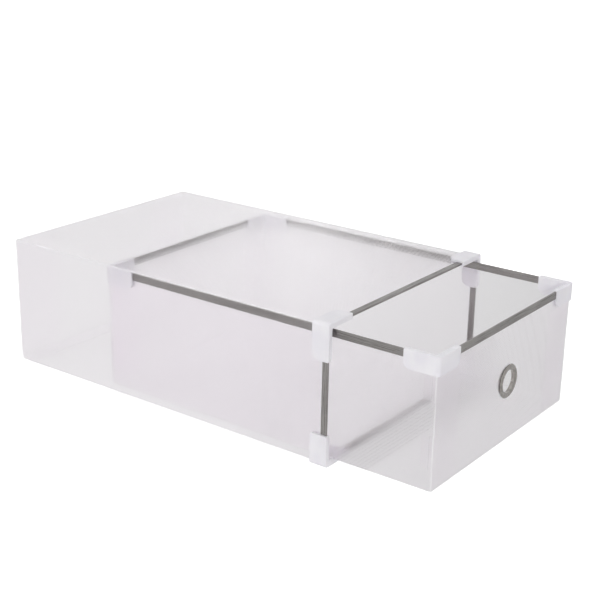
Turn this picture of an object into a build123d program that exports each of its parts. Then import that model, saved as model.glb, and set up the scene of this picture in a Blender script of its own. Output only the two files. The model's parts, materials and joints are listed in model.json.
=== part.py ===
"""Drawer shoe box in frosted polypropylene sheet.

A folded sleeve, closed at the rear, holds a folded drawer that slides out at the front.
Steel U strips cover the sleeve's mouth and the drawer's rim. Moulded corner connectors
join the strips. A metal eyelet in the drawer's front panel is the finger pull.

Frame: millimetres, +Z up, drawer front facing -Y, origin at the bottom centre of the box
with the drawer part open, as it rests.
"""

import os

from build123d import *

# Sheet the sleeve and the drawer are folded from
SHEET = 0.8
BEND = 0.6  # radius of a scored fold, at the middle of the sheet
FOLD_OUT = BEND + SHEET / 2
FOLD_IN = BEND - SHEET / 2

# Sleeve, outside of the sheet
SLEEVE_WIDTH = 201.0
SLEEVE_HEIGHT = 102.5
SLEEVE_DEPTH = 309.0

# Drawer, outside of the sheet
DRAWER_WIDTH = 191.0
DRAWER_HEIGHT = 95.4
DRAWER_LENGTH = 291.0
DRAWER_LIFT = 3.1  # underside of the drawer above the underside of the sleeve
DRAWER_OPEN = 82.0  # front panel in front of the sleeve's edge, at rest

# Steel strip folded over a sheet edge
STEEL = 0.4
STRIP_PLAY = 0.05  # between the sheet and the steel
SLEEVE_STRIP_REACH = 4.7  # outside of the web to the ends of the legs
DRAWER_STRIP_REACH = 5.5
STRIP_COVER = STEEL + STRIP_PLAY  # how far the strip stands off the sheet
STRIP_THICK = SHEET + 2 * STRIP_COVER
STRIP_BEND_OUT = 0.55
STRIP_INSERT = 12.0  # length of strip inside a connector

# Walls of the moulded corner connectors, measured from the steel
SLEEVE_OUTER_WALL = 1.75
SLEEVE_INNER_WALL = 0.9
SLEEVE_FACE_WALL = 1.4
SLEEVE_CONNECTOR_DEPTH = 14.0
SLEEVE_ARM = 28.0
SLEEVE_END_ROUND = 6.5
FOOT_ARM_UP = 24.0
FOOT_END_ROUND = 1.5

DRAWER_OUTER_WALL = 1.3
DRAWER_INNER_WALL = 1.3
DRAWER_FACE_WALL = 0.95
DRAWER_CONNECTOR_DEPTH = 13.5
DRAWER_ARM = 27.0
DRAWER_END_ROUND = 5.0

CORNER_ROUND = 3.0  # outer corner between the two arms
EDGE_ROUND = 0.7  # round the outward face
SLOT_PLAY = 0.1  # between a connector and what it holds

# Rear closure of the sleeve
REAR_GAP = 0.3  # between flaps that lie on each other
TUCK_LENGTH = 15.0
TUCK_WIDTH = 194.0
TUCK_ROUND = 6.0
DUST_FLAP_WIDTH = 42.0
DUST_FLAP_INSET = 4.0
DUST_FLAP_ROUND = 10.0
CLOSURE_FOLDS = 2.5  # length at the rear taken by the folds
LAP_WIDTH = 13.0  # welded lap along the lower right fold
LAP_FRONT_GAP = 16.0
LAP_REAR_GAP = 20.0

# Corners of the drawer
FLAP_WIDTH = 30.0  # corner flap behind the front and back panels
FLAP_GAP = 0.2
FLAP_TOP = 84.0  # above the sleeve's underside
TAB_HEIGHTS = ((19.0, 43.0), (68.0, 86.0))  # above the sleeve's underside
TAB_STANDOFF = 0.1
TAB_BACK = 3.2  # slot behind the front panel's outer face
TAB_TONGUE = 7.0
SLOT_WIDTH = 1.2

# Fine ribs across the drawer's floor
RIB_COUNT = 9
RIB_PITCH = 3.3
RIB_WIDTH = 1.0
RIB_HEIGHT = 0.3
RIB_LENGTH = 180.0
RIB_FIRST = 52.0  # foremost rib behind the front panel

# Finger eyelet
EYELET_ACROSS = 4.5  # to the right of the panel's middle
EYELET_DROP = 0.8  # below the panel's middle
EYELET_HOLE = 18.7
EYELET_BORE = 17.2
EYELET_METAL = 0.5
EYELET_FLANGE = 25.4
EYELET_DOME = 1.1
EYELET_THROAT_FRONT = 0.3
EYELET_THROAT_BACK = 1.5  # behind the panel's outer face
EYELET_CURL = 1.1
EYELET_CURL_REACH = 0.7
WASHER_BORE = 18.7
WASHER_OUTER = 24.6
WASHER_METAL = 0.5
WASHER_RISE = 1.0

# Where things are
SLEEVE_PROUD = STRIP_COVER + SLEEVE_OUTER_WALL
DRAWER_PROUD = STRIP_COVER + DRAWER_OUTER_WALL
BOTTOM = SLEEVE_PROUD
TOP = BOTTOM + SLEEVE_HEIGHT
SIDE = SLEEVE_WIDTH / 2
REAR = (SLEEVE_DEPTH + DRAWER_OPEN + DRAWER_PROUD) / 2
MOUTH = REAR - SLEEVE_DEPTH
MOUTH_FACE = MOUTH - STRIP_COVER - SLEEVE_FACE_WALL
TUBE_END = REAR - CLOSURE_FOLDS
MID_HEIGHT = (BOTTOM + TOP) / 2

DRAWER_SIDE = DRAWER_WIDTH / 2
DRAWER_FRONT = MOUTH - DRAWER_OPEN
DRAWER_BACK = DRAWER_FRONT + DRAWER_LENGTH
DRAWER_MIDDLE = (DRAWER_FRONT + DRAWER_BACK) / 2
DRAWER_BOTTOM = BOTTOM + DRAWER_LIFT
DRAWER_TOP = DRAWER_BOTTOM + DRAWER_HEIGHT
RIM_FACE = DRAWER_TOP + STRIP_COVER + DRAWER_FACE_WALL
EYELET_HEIGHT = (DRAWER_BOTTOM + DRAWER_TOP) / 2 - EYELET_DROP

LEFT = Vector(-1, 0, 0)
RIGHT = Vector(1, 0, 0)
FRONT = Vector(0, -1, 0)
BACK = Vector(0, 1, 0)
DOWN = Vector(0, 0, -1)
UP = Vector(0, 0, 1)


def save(part, name):
    """Labels a finished sub-part and writes it as one STEP file."""
    part.label = name
    export_step(part, f"parts/{name}.step")


def folded_sheet(plane, points, width):
    """Adds a strip of sheet bent along points in a plane, as wide as the plane's normal says."""
    with BuildSketch(plane) as section:
        with BuildLine():
            FilletPolyline(*points, radius=BEND)
        trace(line_width=SHEET)
    extrude(section.sketch, amount=width)


def build_sleeve():
    """Tube of four panels, closed at the rear by a tucked panel and two dust flaps."""
    half = SHEET / 2
    with BuildPart() as sleeve_sheet:
        with BuildSketch(Plane.XZ.offset(-MOUTH)):
            with Locations((0, MID_HEIGHT)):
                RectangleRounded(SLEEVE_WIDTH, SLEEVE_HEIGHT, FOLD_OUT)
                RectangleRounded(
                    SLEEVE_WIDTH - 2 * SHEET, SLEEVE_HEIGHT - 2 * SHEET, FOLD_IN, mode=Mode.SUBTRACT
                )
        extrude(amount=MOUTH - TUBE_END)

        # The bottom panel runs on under the rear panel.
        flat_side = SIDE - FOLD_OUT
        with BuildSketch(Plane.XY.offset(BOTTOM)):
            with Locations((0, TUBE_END - 1)):
                Rectangle(2 * flat_side, REAR - TUBE_END + 1, align=(Align.CENTER, Align.MIN))
        extrude(amount=SHEET)

        # The rear panel hangs from the top panel and tucks in above the bottom panel.
        rear_middle = REAR - half
        tuck_middle = BOTTOM + SHEET + REAR_GAP + half
        folded_sheet(
            Plane.YZ.offset(-flat_side),
            [(TUBE_END - 1, TOP - half), (rear_middle, TOP - half), (rear_middle, tuck_middle + 1)],
            2 * flat_side,
        )
        folded_sheet(
            Plane.YZ.offset(-TUCK_WIDTH / 2),
            [
                (rear_middle, tuck_middle + 5),
                (rear_middle, tuck_middle),
                (rear_middle - TUCK_LENGTH, tuck_middle),
            ],
            TUCK_WIDTH,
        )
        tuck_corners = (
            sleeve_sheet.edges()
            .filter_by(Axis.Z)
            .filter_by_position(Axis.Y, rear_middle - TUCK_LENGTH - 0.1, rear_middle - TUCK_LENGTH + 0.1)
        )
        fillet(tuck_corners, TUCK_ROUND)

        # Dust flaps fold in from both side panels, inside the rear panel.
        flap_middle = REAR - SHEET - REAR_GAP - half
        flap_height = SLEEVE_HEIGHT - 2 * DUST_FLAP_INSET
        for side in (-1, 1):
            wall = side * (SIDE - half)
            flap_end = side * (SIDE - DUST_FLAP_WIDTH)
            folded_sheet(
                Plane.XY.offset(BOTTOM + DUST_FLAP_INSET),
                [(wall, TUBE_END - 1), (wall, flap_middle), (flap_end, flap_middle)],
                flap_height,
            )
        flap_corners = (
            sleeve_sheet.edges()
            .filter_by(Axis.Y)
            .filter_by(lambda edge: abs(abs(edge.center().X) - (SIDE - DUST_FLAP_WIDTH)) < 0.1)
        )
        fillet(flap_corners, DUST_FLAP_ROUND)

        # The sheet's two ends are welded in a lap inside the lower right fold.
        with BuildSketch(Plane.XY.offset(BOTTOM + SHEET)):
            with Locations((SIDE - SHEET, MOUTH + LAP_FRONT_GAP)):
                Rectangle(
                    LAP_WIDTH,
                    SLEEVE_DEPTH - LAP_FRONT_GAP - LAP_REAR_GAP,
                    align=(Align.MAX, Align.MIN),
                )
        extrude(amount=SHEET)
    save(sleeve_sheet.part, "sleeve_sheet")


def add_corner_lock(side, end_face, inward):
    """Folds one corner of the drawer: flap inside the end panel, tabs hooked through slots.

    side is -1 or 1, end_face the outer face of the front or back panel, inward the
    direction along Y to the drawer's middle.
    """
    half = SHEET / 2
    wall = side * (DRAWER_SIDE - half)

    flap_middle = end_face + inward * (SHEET + FLAP_GAP + half)
    folded_sheet(
        Plane.XY.offset(DRAWER_BOTTOM + 2 * FOLD_OUT),
        [
            (wall, end_face + inward * 4),
            (wall, flap_middle),
            (side * (DRAWER_SIDE - FLAP_WIDTH), flap_middle),
        ],
        BOTTOM + FLAP_TOP - DRAWER_BOTTOM - 2 * FOLD_OUT,
    )

    slot_middle = end_face + inward * TAB_BACK
    outside = side * (DRAWER_SIDE + TAB_STANDOFF + half)
    inside = side * (DRAWER_SIDE - SHEET - FLAP_GAP - half)
    for low, high in TAB_HEIGHTS:
        with BuildSketch(Plane.XY.offset(BOTTOM + low - SLOT_PLAY)) as slot:
            with Locations((wall, slot_middle)):
                Rectangle(2 * SHEET, SLOT_WIDTH)
        extrude(slot.sketch, amount=high - low + 2 * SLOT_PLAY, mode=Mode.SUBTRACT)
        folded_sheet(
            Plane.XY.offset(BOTTOM + low),
            [
                (side * (DRAWER_SIDE - 2), end_face + inward * half),
                (outside, end_face + inward * half),
                (outside, slot_middle),
                (inside, slot_middle),
                (inside, slot_middle + inward * TAB_TONGUE),
            ],
            high - low,
        )


def build_drawer():
    """Tray folded from one sheet, locked at its corners, with a hole for the finger eyelet."""
    half = SHEET / 2
    flat_side = DRAWER_SIDE - FOLD_OUT
    wall = DRAWER_SIDE - half
    floor_middle = DRAWER_BOTTOM + half
    wall_start = SHEET + FLAP_GAP + FOLD_OUT
    with BuildPart() as drawer_sheet:
        # Floor and side walls
        folded_sheet(
            Plane.XZ.offset(-DRAWER_FRONT - wall_start),
            [(-wall, DRAWER_TOP), (-wall, floor_middle), (wall, floor_middle), (wall, DRAWER_TOP)],
            2 * wall_start - DRAWER_LENGTH,
        )

        # Front and back panels fold up from the floor and reach out to the side walls.
        for end_face, inward in ((DRAWER_FRONT, 1), (DRAWER_BACK, -1)):
            panel_middle = end_face + inward * half
            folded_sheet(
                Plane.YZ.offset(-flat_side),
                [
                    (panel_middle, DRAWER_TOP),
                    (panel_middle, floor_middle),
                    (end_face + inward * 5, floor_middle),
                ],
                2 * flat_side,
            )
            with BuildSketch(Plane.XY.offset(DRAWER_BOTTOM + FOLD_OUT)):
                with Locations((0, panel_middle)):
                    Rectangle(DRAWER_WIDTH, SHEET)
            extrude(amount=DRAWER_HEIGHT - FOLD_OUT)
            for side in (-1, 1):
                add_corner_lock(side, end_face, inward)

        # Fine ribs across the floor
        last_rib = DRAWER_FRONT + RIB_FIRST + (RIB_COUNT - 1) * RIB_PITCH / 2
        with BuildSketch(Plane.XY.offset(DRAWER_BOTTOM + SHEET)):
            with Locations((0, last_rib)):
                with GridLocations(1, RIB_PITCH, 1, RIB_COUNT):
                    SlotOverall(RIB_LENGTH, RIB_WIDTH)
        extrude(amount=RIB_HEIGHT)

        # Hole for the finger eyelet
        with BuildSketch(Plane.XZ.offset(-DRAWER_FRONT)):
            with Locations((EYELET_ACROSS, EYELET_HEIGHT)):
                Circle(EYELET_HOLE / 2)
        extrude(amount=-SHEET, mode=Mode.SUBTRACT)
    save(drawer_sheet.part, "drawer_sheet")


def edge_strip(start, along, outward, length, reach):
    """Steel strip folded over a sheet edge.

    start is on the middle of the sheet's edge, outward points away from the sheet.
    """
    with BuildPart() as strip:
        with BuildSketch(Plane(origin=start, x_dir=outward, z_dir=along)) as section:
            with Locations((STRIP_COVER, 0)):
                Rectangle(reach, STRIP_THICK, align=(Align.MAX, Align.CENTER))
            fillet(section.vertices().sort_by(Axis.X)[-2:], STRIP_BEND_OUT)
            with Locations((STRIP_PLAY, 0)):
                Rectangle(
                    reach,
                    SHEET + 2 * STRIP_PLAY,
                    align=(Align.MAX, Align.CENTER),
                    mode=Mode.SUBTRACT,
                )
        extrude(amount=length)
    return strip.part


def corner_connector(plane, arm_x, arm_y, walls, depth, end_round, strip_reach):
    """Moulded L with a slot for the folded sheet and a pocket for a strip in each arm.

    The plane's origin is the connector's outermost corner. Its x and y axes run along the
    arms and its z axis points outward from the sheet edge. walls are the thicknesses
    outside, inside and over the steel.
    """
    outer_wall, inner_wall, face_wall = walls
    sheet_face = outer_wall + STRIP_COVER
    sheet_middle = sheet_face + SHEET / 2
    thickness = sheet_face + SHEET + STRIP_COVER + inner_wall
    outward = Axis(plane.origin, plane.z_dir)
    with BuildPart() as connector:
        arm_sides = (
            (Plane(plane.origin, x_dir=plane.x_dir, z_dir=-plane.y_dir), arm_x, 1),
            (Plane(plane.origin, x_dir=-plane.y_dir, z_dir=-plane.x_dir), arm_y, -1),
        )
        for arm_plane, arm, direction in arm_sides:
            with BuildSketch(arm_plane) as side_view:
                Rectangle(
                    arm,
                    depth,
                    align=(Align.MIN if direction > 0 else Align.MAX, Align.MAX),
                )
                end = side_view.vertices().sort_by(Axis.X)[::-direction][:2]
                fillet(end.sort_by(Axis.Y)[0], end_round)
            extrude(amount=-thickness)
        corner = connector.edges().filter_by(outward).sort_by_distance(plane.origin)[0]
        fillet(corner, CORNER_ROUND)
        face = connector.faces().sort_by(outward)[-1]
        fillet(face.edges(), EDGE_ROUND)

        # Slot for the sheet
        slot_in = sheet_face - SLOT_PLAY
        slot_out = sheet_face + SHEET + SLOT_PLAY
        with BuildSketch(plane.offset(-face_wall - STEEL)):
            with BuildLine():
                Polyline(
                    (slot_in, slot_in),
                    (arm_x + 1, slot_in),
                    (arm_x + 1, slot_out),
                    (slot_out, slot_out),
                    (slot_out, arm_y + 1),
                    (slot_in, arm_y + 1),
                    close=True,
                )
            make_face()
        extrude(amount=-depth, mode=Mode.SUBTRACT)

        # Pockets for the strips
        pocket = STRIP_INSERT + SLOT_PLAY
        pocket_thick = STRIP_THICK + 2 * SLOT_PLAY
        with BuildSketch(plane.offset(-face_wall + SLOT_PLAY)):
            with Locations((arm_x, sheet_middle)):
                Rectangle(2 * pocket, pocket_thick)
            with Locations((sheet_middle, arm_y)):
                Rectangle(pocket_thick, 2 * pocket)
        extrude(amount=-strip_reach - 2 * SLOT_PLAY, mode=Mode.SUBTRACT)
    return connector.part


def build_sleeve_trim():
    """Four strips and four connectors round the sleeve's mouth."""
    half = SHEET / 2
    outside = SIDE + SLEEVE_PROUD
    strip_side = outside - SLEEVE_ARM + STRIP_INSERT
    strip_low = FOOT_ARM_UP - STRIP_INSERT
    strip_high = TOP + SLEEVE_PROUD - SLEEVE_ARM + STRIP_INSERT
    reach = SLEEVE_STRIP_REACH
    for name, height in (("sleeve_strip_top", TOP - half), ("sleeve_strip_bottom", BOTTOM + half)):
        save(edge_strip((-strip_side, MOUTH, height), RIGHT, FRONT, 2 * strip_side, reach), name)
    for name, x in (("sleeve_strip_left", -SIDE + half), ("sleeve_strip_right", SIDE - half)):
        save(edge_strip((x, MOUTH, strip_low), UP, FRONT, strip_high - strip_low, reach), name)

    walls = (SLEEVE_OUTER_WALL, SLEEVE_INNER_WALL, SLEEVE_FACE_WALL)
    head = TOP + SLEEVE_PROUD
    corners = (
        ("sleeve_connector_top_left", -outside, head, DOWN, SLEEVE_ARM, SLEEVE_ARM, SLEEVE_END_ROUND),
        ("sleeve_connector_top_right", outside, head, LEFT, SLEEVE_ARM, SLEEVE_ARM, SLEEVE_END_ROUND),
        ("sleeve_foot_left", -outside, 0, RIGHT, SLEEVE_ARM, FOOT_ARM_UP, FOOT_END_ROUND),
        ("sleeve_foot_right", outside, 0, UP, FOOT_ARM_UP, SLEEVE_ARM, FOOT_END_ROUND),
    )
    for name, x, z, first_arm, arm_x, arm_y, end_round in corners:
        plane = Plane(origin=(x, MOUTH_FACE, z), x_dir=first_arm, z_dir=FRONT)
        connector = corner_connector(
            plane, arm_x, arm_y, walls, SLEEVE_CONNECTOR_DEPTH, end_round, reach
        )
        save(connector, name)


def build_drawer_trim():
    """Four strips and four connectors round the drawer's rim."""
    half = SHEET / 2
    inset = STRIP_INSERT - DRAWER_ARM + DRAWER_PROUD
    strip_x = DRAWER_SIDE + inset
    strip_y = DRAWER_LENGTH / 2 + inset
    reach = DRAWER_STRIP_REACH
    ends = (("drawer_strip_front", DRAWER_FRONT + half), ("drawer_strip_back", DRAWER_BACK - half))
    for name, y in ends:
        save(edge_strip((-strip_x, y, DRAWER_TOP), RIGHT, UP, 2 * strip_x, reach), name)
    sides = (("drawer_strip_left", -DRAWER_SIDE + half), ("drawer_strip_right", DRAWER_SIDE - half))
    for name, x in sides:
        save(edge_strip((x, DRAWER_MIDDLE - strip_y, DRAWER_TOP), BACK, UP, 2 * strip_y, reach), name)

    walls = (DRAWER_OUTER_WALL, DRAWER_INNER_WALL, DRAWER_FACE_WALL)
    outside = DRAWER_SIDE + DRAWER_PROUD
    front = DRAWER_FRONT - DRAWER_PROUD
    back = DRAWER_BACK + DRAWER_PROUD
    corners = (
        ("drawer_connector_front_left", -outside, front, RIGHT),
        ("drawer_connector_front_right", outside, front, BACK),
        ("drawer_connector_back_left", -outside, back, FRONT),
        ("drawer_connector_back_right", outside, back, LEFT),
    )
    for name, x, y, first_arm in corners:
        plane = Plane(origin=(x, y, RIM_FACE), x_dir=first_arm, z_dir=UP)
        connector = corner_connector(
            plane, DRAWER_ARM, DRAWER_ARM, walls, DRAWER_CONNECTOR_DEPTH, DRAWER_END_ROUND, reach
        )
        save(connector, name)


def build_eyelet():
    """Domed eyelet through the front panel, its end curled over a washer behind the panel."""
    bore = EYELET_BORE / 2
    flange = EYELET_FLANGE / 2
    metal = EYELET_METAL
    crest = (bore + flange) / 2
    curl = bore + EYELET_CURL
    curl_back = -EYELET_THROAT_BACK - EYELET_CURL
    middle_point = (EYELET_ACROSS, DRAWER_FRONT, EYELET_HEIGHT)
    axis_plane = Plane(origin=middle_point, x_dir=RIGHT, z_dir=DOWN)
    axis = Axis(middle_point, FRONT)
    curl_end = curl + EYELET_CURL_REACH
    with BuildPart() as eyelet:
        with BuildSketch(axis_plane):
            with BuildLine():
                ThreePointArc((flange, STRIP_PLAY), (crest, EYELET_DOME), (bore, EYELET_THROAT_FRONT))
                Line((bore, EYELET_THROAT_FRONT), (bore, -EYELET_THROAT_BACK))
                RadiusArc((bore, -EYELET_THROAT_BACK), (curl, curl_back), -EYELET_CURL)
                Line((curl, curl_back), (curl_end, curl_back))
                Line((curl_end, curl_back), (curl_end, curl_back + metal))
                Line((curl_end, curl_back + metal), (curl, curl_back + metal))
                RadiusArc(
                    (curl, curl_back + metal), (bore + metal, -EYELET_THROAT_BACK), EYELET_CURL - metal
                )
                Line((bore + metal, -EYELET_THROAT_BACK), (bore + metal, EYELET_THROAT_FRONT))
                ThreePointArc(
                    (bore + metal, EYELET_THROAT_FRONT),
                    (crest, EYELET_DOME - metal),
                    (flange - metal, STRIP_PLAY),
                )
                Line((flange - metal, STRIP_PLAY), (flange, STRIP_PLAY))
            make_face()
        revolve(axis=axis)
    save(eyelet.part, "eyelet")

    inner = WASHER_BORE / 2
    outer = WASHER_OUTER / 2
    panel_back = -SHEET - STRIP_PLAY
    raised = panel_back - WASHER_RISE
    middle = (inner + outer) / 2 + 0.4
    with BuildPart() as washer:
        with BuildSketch(axis_plane):
            with BuildLine():
                ThreePointArc((outer, panel_back), (middle, raised + 0.3), (inner, raised))
                Line((inner, raised), (inner, raised + WASHER_METAL))
                ThreePointArc(
                    (inner, raised + WASHER_METAL),
                    (middle - 0.4, raised + WASHER_METAL + 0.3),
                    (outer - WASHER_METAL, panel_back),
                )
                Line((outer - WASHER_METAL, panel_back), (outer, panel_back))
            make_face()
        revolve(axis=axis)
    save(washer.part, "eyelet_washer")


os.makedirs("parts", exist_ok=True)
build_sleeve()
build_drawer()
build_sleeve_trim()
build_drawer_trim()
build_eyelet()
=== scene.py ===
"""Drawer shoe box: procedural materials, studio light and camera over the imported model.

Units are metres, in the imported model's frame: +Z up, drawer front facing -Y.
"""

import json
import math

import bpy
from mathutils import Matrix, Vector


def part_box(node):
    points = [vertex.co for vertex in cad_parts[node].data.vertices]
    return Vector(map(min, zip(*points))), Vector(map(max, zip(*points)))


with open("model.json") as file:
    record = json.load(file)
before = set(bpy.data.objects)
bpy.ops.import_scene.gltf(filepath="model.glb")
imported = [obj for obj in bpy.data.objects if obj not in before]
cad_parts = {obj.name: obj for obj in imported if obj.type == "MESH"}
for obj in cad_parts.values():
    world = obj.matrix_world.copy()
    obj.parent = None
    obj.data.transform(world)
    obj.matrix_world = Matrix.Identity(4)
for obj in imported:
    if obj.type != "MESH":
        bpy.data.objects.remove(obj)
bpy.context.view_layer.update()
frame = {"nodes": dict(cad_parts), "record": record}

# Camera, with angles in degrees, and its lens and sensor in millimetres
CAMERA_AZIMUTH = -53.6
CAMERA_ELEVATION = 19.5
CAMERA_ROLL = 1.07
CAMERA_PLACE = (-0.7524, -0.5690, 0.4043)
CAMERA_LENS = 76.7
SENSOR = 36.0

# Frosted sheet. Its index is far below polypropylene's 1.49, so that folds and tabs seen
# through a sheet stay faint.
SHEET_COLOUR = (1.0, 0.989, 1.0, 1.0)
SHEET_IOR = 1.06
SHEET_GLOSS = 0.15
SHEET_GLOSS_ROUGHNESS = 0.3
RULE_PITCH = 0.00085
RULE_DIRECTION = Vector((-0.74, 1.0, -0.76)).normalized()
SLEEVE_RULE_EDGES = (0.1, 0.5)
DRAWER_RULE_EDGES = (-0.5, 0.0)
CLEAR_ROUGHNESS = 0.04
FROSTED_ROUGHNESS = 0.95
FOLD_REACH = 0.0010
FOLD_CORE = FOLD_REACH / 3  # the fold is fully frosted this near its edge
FOLD_PASSES = 0.5  # share of the light let through along a fold
TAB_PROUD = 0.0009  # the tabs stand this far outside the drawer's side walls

# Ribs across the drawer's floor, with shade painted along them as a darker colour
RIB_COUNT = 9
RIB_PITCH = 0.0033
RIB_FIRST = 0.052  # behind the drawer's front
RIB_EDGES = (0.3, 0.7)
RIB_ZONE_HEIGHT = 0.0013
# The darker colour painted along the ribs as shade
RIB_PAINTED_SHADE = (0.74, 0.73, 0.74, 1.0)

# Metal, with grains counted per metre
GRAIN_ACROSS = 2600.0
GRAIN_ALONG = 45.0
SMUDGE = 35.0
GRAIN_SHARE = 0.6
STEEL_TONES = (0.35, 0.65)
STEEL_ROUGHNESS = (0.24, 0.38)
STEEL_DARK = (0.22, 0.21, 0.205, 1.0)
STEEL_LIGHT = (0.38, 0.365, 0.355, 1.0)
EYELET_DARK = (0.33, 0.31, 0.295, 1.0)
EYELET_LIGHT = (0.46, 0.44, 0.42, 1.0)
EYELET_WEAR = 400.0
EYELET_WEAR_DETAIL = 4.0
EYELET_TONES = (0.35, 0.65)
EYELET_ROUGHNESS = (0.12, 0.22)

# Moulded plastic
MOULDED_COLOUR = (0.99, 0.98, 1.0, 1.0)
MOULDED_SHADE = (0.96, 0.945, 0.985, 1.0)
MOULDED_IOR = 1.2
MOULDED_GLOSS = 0.3
MOULDED_GLOSS_ROUGHNESS = 0.25
MOULDED_FLOW = 120.0
MOULDED_SKIN = 900.0
MOULDED_PASSES = (0.25, 0.15)
MOULDED_ROUGHNESS = (0.4, 0.55)

# The middle of a noise's range, where most of its values lie
NOISE_RANGE = (0.3, 0.7)

# Light. The slope is how much brighter the room is towards +X, +Y and +Z.
WORLD_STRENGTH = 0.765
WORLD_SLOPE = (-0.08, 0.07, 0.06)
LIGHT_BOUNCES = 64

# Floor. The camera sees it as white. Its glow lights the box, and grows from the front value
# to the back value between a start and an end, measured along the direction. The dimmer glow
# in front is a painted shadow under the drawer's front.
FLOOR_SIZE = 30.0
FLOOR_DROP = 0.0002  # keeps the floor clear of the feet's soles
FLOOR_SHOWN = (1.7, 1.7, 1.7, 1.0)
FLOOR_GLOW_IN_PAINTED_SHADOW = 0.645
FLOOR_GLOW_BACK = 0.79
FLOOR_GLOW_START = -0.19
FLOOR_GLOW_END = 0.03
FLOOR_GLOW_DIRECTION = (-0.4, 1.0, 0.0)

# Soft lamps
LIGHT_TARGET = Vector((0.0, -0.05, 0.05))
BACK_PANEL_PLACE = (1.9, 1.4, 0.95)
BACK_PANEL_SIZE = 2.0
BACK_PANEL_POWER = 0.3
KEY_PANEL_PLACE = (-1.5, -1.3, 0.6)
KEY_PANEL_SIZE = 0.35
KEY_PANEL_POWER = 6.0


class Nodes:
    """Short calls for making and linking one material's nodes."""

    def __init__(self, name):
        self.material = bpy.data.materials.new(name)
        self.material.use_nodes = True
        self.tree = self.material.node_tree
        self.shader = self.tree.nodes["Principled BSDF"]
        self.output = self.tree.nodes["Material Output"]

    def add(self, kind, **settings):
        node = self.tree.nodes.new(kind)
        for key, value in settings.items():
            setattr(node, key, value)
        return node

    def link(self, source, target):
        self.tree.links.new(source, target)

    def place(self):
        """Object coordinates, which are the model's frame in metres."""
        return self.add("ShaderNodeTexCoord").outputs["Object"]

    def math(self, operation, first, second=None):
        """A Math node; each operand is a socket or a number."""
        return self.operate("ShaderNodeMath", operation, first, second)

    def vector(self, operation, first, second=None):
        """A Vector Math node; each operand is a socket or a vector."""
        return self.operate("ShaderNodeVectorMath", operation, first, second)

    def along(self, vector, direction):
        """The vector's dot product with a fixed direction."""
        node = self.add("ShaderNodeVectorMath", operation="DOT_PRODUCT")
        node.inputs[1].default_value = direction
        self.link(vector, node.inputs[0])
        return node.outputs["Value"]

    def split(self, vector):
        """The vector's X, Y and Z sockets."""
        node = self.add("ShaderNodeSeparateXYZ")
        self.link(vector, node.inputs[0])
        return node.outputs

    def operate(self, kind, operation, *operands):
        """A node with an operation, whose operands are sockets or fixed values."""
        node = self.add(kind, operation=operation)
        for socket, operand in zip(node.inputs, operands):
            if isinstance(operand, bpy.types.NodeSocket):
                self.link(operand, socket)
            elif operand is not None:
                socket.default_value = operand
        return node.outputs[0]

    def blend(self, factor, first, second):
        """A mix of two colours by a factor socket."""
        node = self.add("ShaderNodeMix", data_type="RGBA")
        self.link(factor, node.inputs["Factor"])
        node.inputs["A"].default_value = first
        node.inputs["B"].default_value = second
        return node.outputs["Result"]

    def spread(self, value, low, high, to_low, to_high):
        """The value remapped from one range to another, and held inside it."""
        node = self.add("ShaderNodeMapRange")
        self.link(value, node.inputs["Value"])
        limits = {"From Min": low, "From Max": high, "To Min": to_low, "To Max": to_high}
        for name, limit in limits.items():
            node.inputs[name].default_value = limit
        return node.outputs["Result"]

    def set(self, **values):
        """Fixed values on the shader's own sockets."""
        for key, value in values.items():
            self.shader.inputs[key.replace("_", " ")].default_value = value


def ruled_pattern(nodes, place, edges):
    """Fine straight rulings across every panel, 0 in the clear lines and 1 in the frosted ones.

    The lines follow a sine wave, and edges are the two heights between which clear turns to frosted.
    """
    phase = nodes.along(place, RULE_DIRECTION * (2 * math.pi / RULE_PITCH))
    wave = nodes.math("SINE", phase)
    return nodes.spread(wave, *edges, 0.0, 1.0)


def fold_pattern(nodes, place, box, proud):
    """1 along the edges of a node's box, where the sheet is folded, and 0 on its panels."""
    low, high = (Vector(corner) for corner in box)
    middle = (low + high) / 2
    half = (high - low) / 2 - Vector(proud)
    shifted = nodes.vector("SUBTRACT", place, middle)
    mirrored = nodes.vector("ABSOLUTE", shifted)
    inside = nodes.vector("SUBTRACT", mirrored, half)
    x, y, z = nodes.split(inside)
    smaller = nodes.math("MINIMUM", x, y)
    larger = nodes.math("MAXIMUM", x, y)
    # The second nearest face is near only where two faces meet.
    second = nodes.math("MAXIMUM", smaller, nodes.math("MINIMUM", larger, z))
    return nodes.spread(second, -FOLD_REACH, -FOLD_CORE, 0.0, 1.0)


def rib_shade_mask(nodes, place):
    """1 on the fine ribs across the drawer's floor, where shade is painted, and 0 elsewhere."""
    low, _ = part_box("drawer_sheet")
    first = low[1] + RIB_FIRST
    last = first + RIB_PITCH * (RIB_COUNT - 1)
    _, y, z = nodes.split(place)
    turns = nodes.math("MULTIPLY", nodes.math("SUBTRACT", y, first), 2 * math.pi / RIB_PITCH)
    lines = nodes.spread(nodes.math("COSINE", turns), *RIB_EDGES, 0.0, 1.0)
    on_floor = nodes.math("LESS_THAN", z, low[2] + RIB_ZONE_HEIGHT)
    behind = nodes.math("GREATER_THAN", y, first - RIB_PITCH / 2)
    before = nodes.math("LESS_THAN", y, last + RIB_PITCH / 2)
    zone = nodes.math("MULTIPLY", on_floor, nodes.math("MULTIPLY", behind, before))
    return nodes.math("MULTIPLY", lines, zone)


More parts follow.
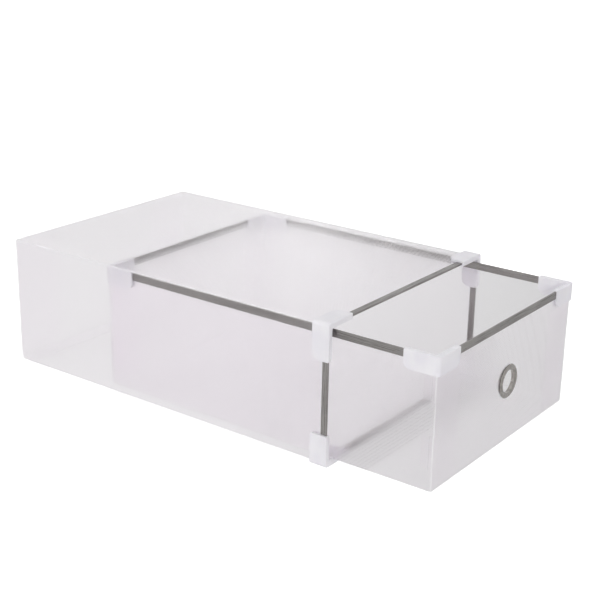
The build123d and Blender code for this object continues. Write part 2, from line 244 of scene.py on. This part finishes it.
def frosted_sheet(name, box, proud, edges, ribs=False):
    """Clear plastic with fine frosted rulings, whiter along its folds; with ribs, shade is painted
    along the floor's ribs.
    """
    nodes = Nodes(name)
    nodes.set(
        Base_Color=SHEET_COLOUR,
        IOR=SHEET_IOR,
        Coat_Weight=SHEET_GLOSS,
        Coat_Roughness=SHEET_GLOSS_ROUGHNESS,
    )
    place = nodes.place()
    rules = ruled_pattern(nodes, place, edges)
    folds = fold_pattern(nodes, place, box, proud)
    frosting = nodes.math("MAXIMUM", rules, folds)
    clearness = nodes.spread(folds, 0.0, 1.0, 1.0, FOLD_PASSES)
    nodes.link(clearness, nodes.shader.inputs["Transmission Weight"])
    roughness = nodes.spread(frosting, 0.0, 1.0, CLEAR_ROUGHNESS, FROSTED_ROUGHNESS)
    nodes.link(roughness, nodes.shader.inputs["Roughness"])
    if ribs:
        # Painted shade: the sheet's colour is darkened along the floor's ribs to draw them as dark
        # lines
        colour = nodes.blend(rib_shade_mask(nodes, place), SHEET_COLOUR, RIB_PAINTED_SHADE)
        nodes.link(colour, nodes.shader.inputs["Base Color"])
    return nodes.material


def noise_pattern(nodes, scales, detail=2.0):
    """Noise with its own number of grains a metre along each axis."""
    scaled = nodes.vector("MULTIPLY", nodes.place(), Vector(scales))
    noise = nodes.add("ShaderNodeTexNoise")
    noise.inputs["Scale"].default_value = 1.0
    noise.inputs["Detail"].default_value = detail
    nodes.link(scaled, noise.inputs["Vector"])
    return noise.outputs["Fac"]


def brushed_steel(axis):
    """Steel strip with grain along its length, and faint smudges."""
    nodes = Nodes("steel_strip_" + "xyz"[axis])
    nodes.set(Metallic=1.0)
    scales = [GRAIN_ACROSS] * 3
    scales[axis] = GRAIN_ALONG
    grain = noise_pattern(nodes, scales)
    smudge = noise_pattern(nodes, [SMUDGE] * 3)
    grained = nodes.math("MULTIPLY", grain, GRAIN_SHARE)
    smudged = nodes.math("MULTIPLY", smudge, 1 - GRAIN_SHARE)
    tone = nodes.math("ADD", grained, smudged)
    colour = nodes.blend(nodes.spread(tone, *STEEL_TONES, 0.0, 1.0), STEEL_DARK, STEEL_LIGHT)
    nodes.link(colour, nodes.shader.inputs["Base Color"])
    roughness = nodes.spread(grain, *NOISE_RANGE, *STEEL_ROUGHNESS)
    nodes.link(roughness, nodes.shader.inputs["Roughness"])
    return nodes.material


def moulded_plastic():
    """Milky moulded plastic with a faint flow pattern and a satin skin."""
    nodes = Nodes("moulded_connector")
    nodes.set(
        IOR=MOULDED_IOR,
        Coat_Weight=MOULDED_GLOSS,
        Coat_Roughness=MOULDED_GLOSS_ROUGHNESS,
    )
    flow = noise_pattern(nodes, [MOULDED_FLOW] * 3)
    colour = nodes.blend(nodes.spread(flow, *NOISE_RANGE, 0.0, 1.0), MOULDED_SHADE, MOULDED_COLOUR)
    nodes.link(colour, nodes.shader.inputs["Base Color"])
    clearness = nodes.spread(flow, *NOISE_RANGE, *MOULDED_PASSES)
    nodes.link(clearness, nodes.shader.inputs["Transmission Weight"])
    skin = noise_pattern(nodes, [MOULDED_SKIN] * 3)
    roughness = nodes.spread(skin, *NOISE_RANGE, *MOULDED_ROUGHNESS)
    nodes.link(roughness, nodes.shader.inputs["Roughness"])
    return nodes.material


def eyelet_metal():
    """Pressed metal with fine wear."""
    nodes = Nodes("eyelet_metal")
    nodes.set(Metallic=1.0)
    wear = noise_pattern(nodes, [EYELET_WEAR] * 3, EYELET_WEAR_DETAIL)
    colour = nodes.blend(nodes.spread(wear, *EYELET_TONES, 0.0, 1.0), EYELET_DARK, EYELET_LIGHT)
    nodes.link(colour, nodes.shader.inputs["Base Color"])
    roughness = nodes.spread(wear, *NOISE_RANGE, *EYELET_ROUGHNESS)
    nodes.link(roughness, nodes.shader.inputs["Roughness"])
    return nodes.material


def longest_axis(name):
    """0, 1 or 2 for a node that is longest along X, Y or Z."""
    low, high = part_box(name)
    sides = [high[axis] - low[axis] for axis in range(3)]
    return sides.index(max(sides))


def dress():
    """Gives each CAD node its material."""
    steels = [brushed_steel(axis) for axis in range(3)]
    shared = {"moulded_connector": moulded_plastic(), "eyelet_metal": eyelet_metal()}
    sheets = {
        "sleeve_sheet": frosted_sheet(
            "frosted_sleeve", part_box("sleeve_sheet"), (0, 0, 0), SLEEVE_RULE_EDGES
        ),
        "drawer_sheet": frosted_sheet(
            "frosted_drawer",
            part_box("drawer_sheet"),
            (TAB_PROUD, 0, 0),
            DRAWER_RULE_EDGES,
            ribs=True,
        ),
    }
    for part in frame["record"]["subparts"]:
        name = part["node"]
        if name in sheets:
            material = sheets[name]
        elif part["material_slot"] == "steel_strip":
            material = steels[longest_axis(name)]
        else:
            material = shared[part["material_slot"]]
        for slot in frame["nodes"][name].material_slots:
            slot.material = material


def make_floor():
    """A wide floor, white to the camera and softly glowing to every other ray, with a painted shadow
    dimming the glow towards the front.
    """
    bpy.ops.mesh.primitive_plane_add(size=FLOOR_SIZE, location=(0, 0, -FLOOR_DROP))
    floor = bpy.context.object
    floor.name = "floor"
    nodes = Nodes("floor")
    shown = nodes.add("ShaderNodeBsdfDiffuse")
    shown.inputs["Color"].default_value = FLOOR_SHOWN
    distance = nodes.along(nodes.place(), FLOOR_GLOW_DIRECTION)
    # Painted shadow: the glow is dimmed towards the drawer's front, standing in for its soft shadow
    level = nodes.spread(
        distance, FLOOR_GLOW_START, FLOOR_GLOW_END, FLOOR_GLOW_IN_PAINTED_SHADOW, FLOOR_GLOW_BACK
    )
    glow = nodes.add("ShaderNodeEmission")
    nodes.link(level, glow.inputs["Strength"])
    path = nodes.add("ShaderNodeLightPath")
    mix = nodes.add("ShaderNodeMixShader")
    nodes.link(path.outputs["Is Camera Ray"], mix.inputs[0])
    nodes.link(glow.outputs[0], mix.inputs[1])
    nodes.link(shown.outputs[0], mix.inputs[2])
    nodes.link(mix.outputs[0], nodes.output.inputs["Surface"])
    floor.data.materials.append(nodes.material)


def area_light(name, place, size, power):
    """A round soft light aimed at the box."""
    light = bpy.data.lights.new(name, "AREA")
    light.shape = "DISK"
    light.size = size
    light.energy = power
    lamp = bpy.data.objects.new(name, light)
    lamp.location = place
    aim = LIGHT_TARGET - Vector(place)
    lamp.rotation_euler = aim.to_track_quat("-Z", "Y").to_euler()
    bpy.context.scene.collection.objects.link(lamp)


def make_light():
    """An even white room, a little brighter to the left, behind and overhead."""
    world = bpy.data.worlds.new("studio")
    world.use_nodes = True
    tree = world.node_tree
    background = tree.nodes["Background"]
    background.inputs["Color"].default_value = (1.0, 1.0, 1.0, 1.0)
    direction = tree.nodes.new("ShaderNodeTexCoord").outputs["Generated"]
    tilt = tree.nodes.new("ShaderNodeVectorMath")
    tilt.operation = "DOT_PRODUCT"
    tilt.inputs[1].default_value = WORLD_SLOPE
    level = tree.nodes.new("ShaderNodeMath")
    level.operation = "ADD"
    level.inputs[1].default_value = WORLD_STRENGTH
    tree.links.new(direction, tilt.inputs[0])
    tree.links.new(tilt.outputs["Value"], level.inputs[0])
    tree.links.new(level.outputs[0], background.inputs["Strength"])
    bpy.context.scene.world = world


def make_camera():
    """The camera at its place, turned by azimuth, elevation and roll."""
    azimuth = math.radians(CAMERA_AZIMUTH)
    elevation = math.radians(CAMERA_ELEVATION)
    back = Vector(
        (
            math.sin(azimuth) * math.cos(elevation),
            -math.cos(azimuth) * math.cos(elevation),
            math.sin(elevation),
        )
    )
    right = Vector((0, 0, 1)).cross(back).normalized()
    up = back.cross(right)
    turn = Matrix((right, up, back)).transposed().to_4x4()
    roll = Matrix.Rotation(math.radians(CAMERA_ROLL), 4, "Z")
    camera = bpy.data.cameras.new("camera")
    camera.sensor_width = SENSOR
    camera.lens = CAMERA_LENS
    holder = bpy.data.objects.new("camera", camera)
    holder.matrix_world = Matrix.Translation(CAMERA_PLACE) @ turn @ roll
    bpy.context.scene.collection.objects.link(holder)
    bpy.context.scene.camera = holder


dress()
make_floor()
make_light()
area_light("back_panel", BACK_PANEL_PLACE, BACK_PANEL_SIZE, BACK_PANEL_POWER)
area_light("key_panel", KEY_PANEL_PLACE, KEY_PANEL_SIZE, KEY_PANEL_POWER)
make_camera()
bpy.context.scene.view_settings.view_transform = "Standard"
cycles = bpy.context.scene.cycles
cycles.max_bounces = LIGHT_BOUNCES
cycles.transmission_bounces = LIGHT_BOUNCES
cycles.glossy_bounces = LIGHT_BOUNCES
cycles.diffuse_bounces = LIGHT_BOUNCES
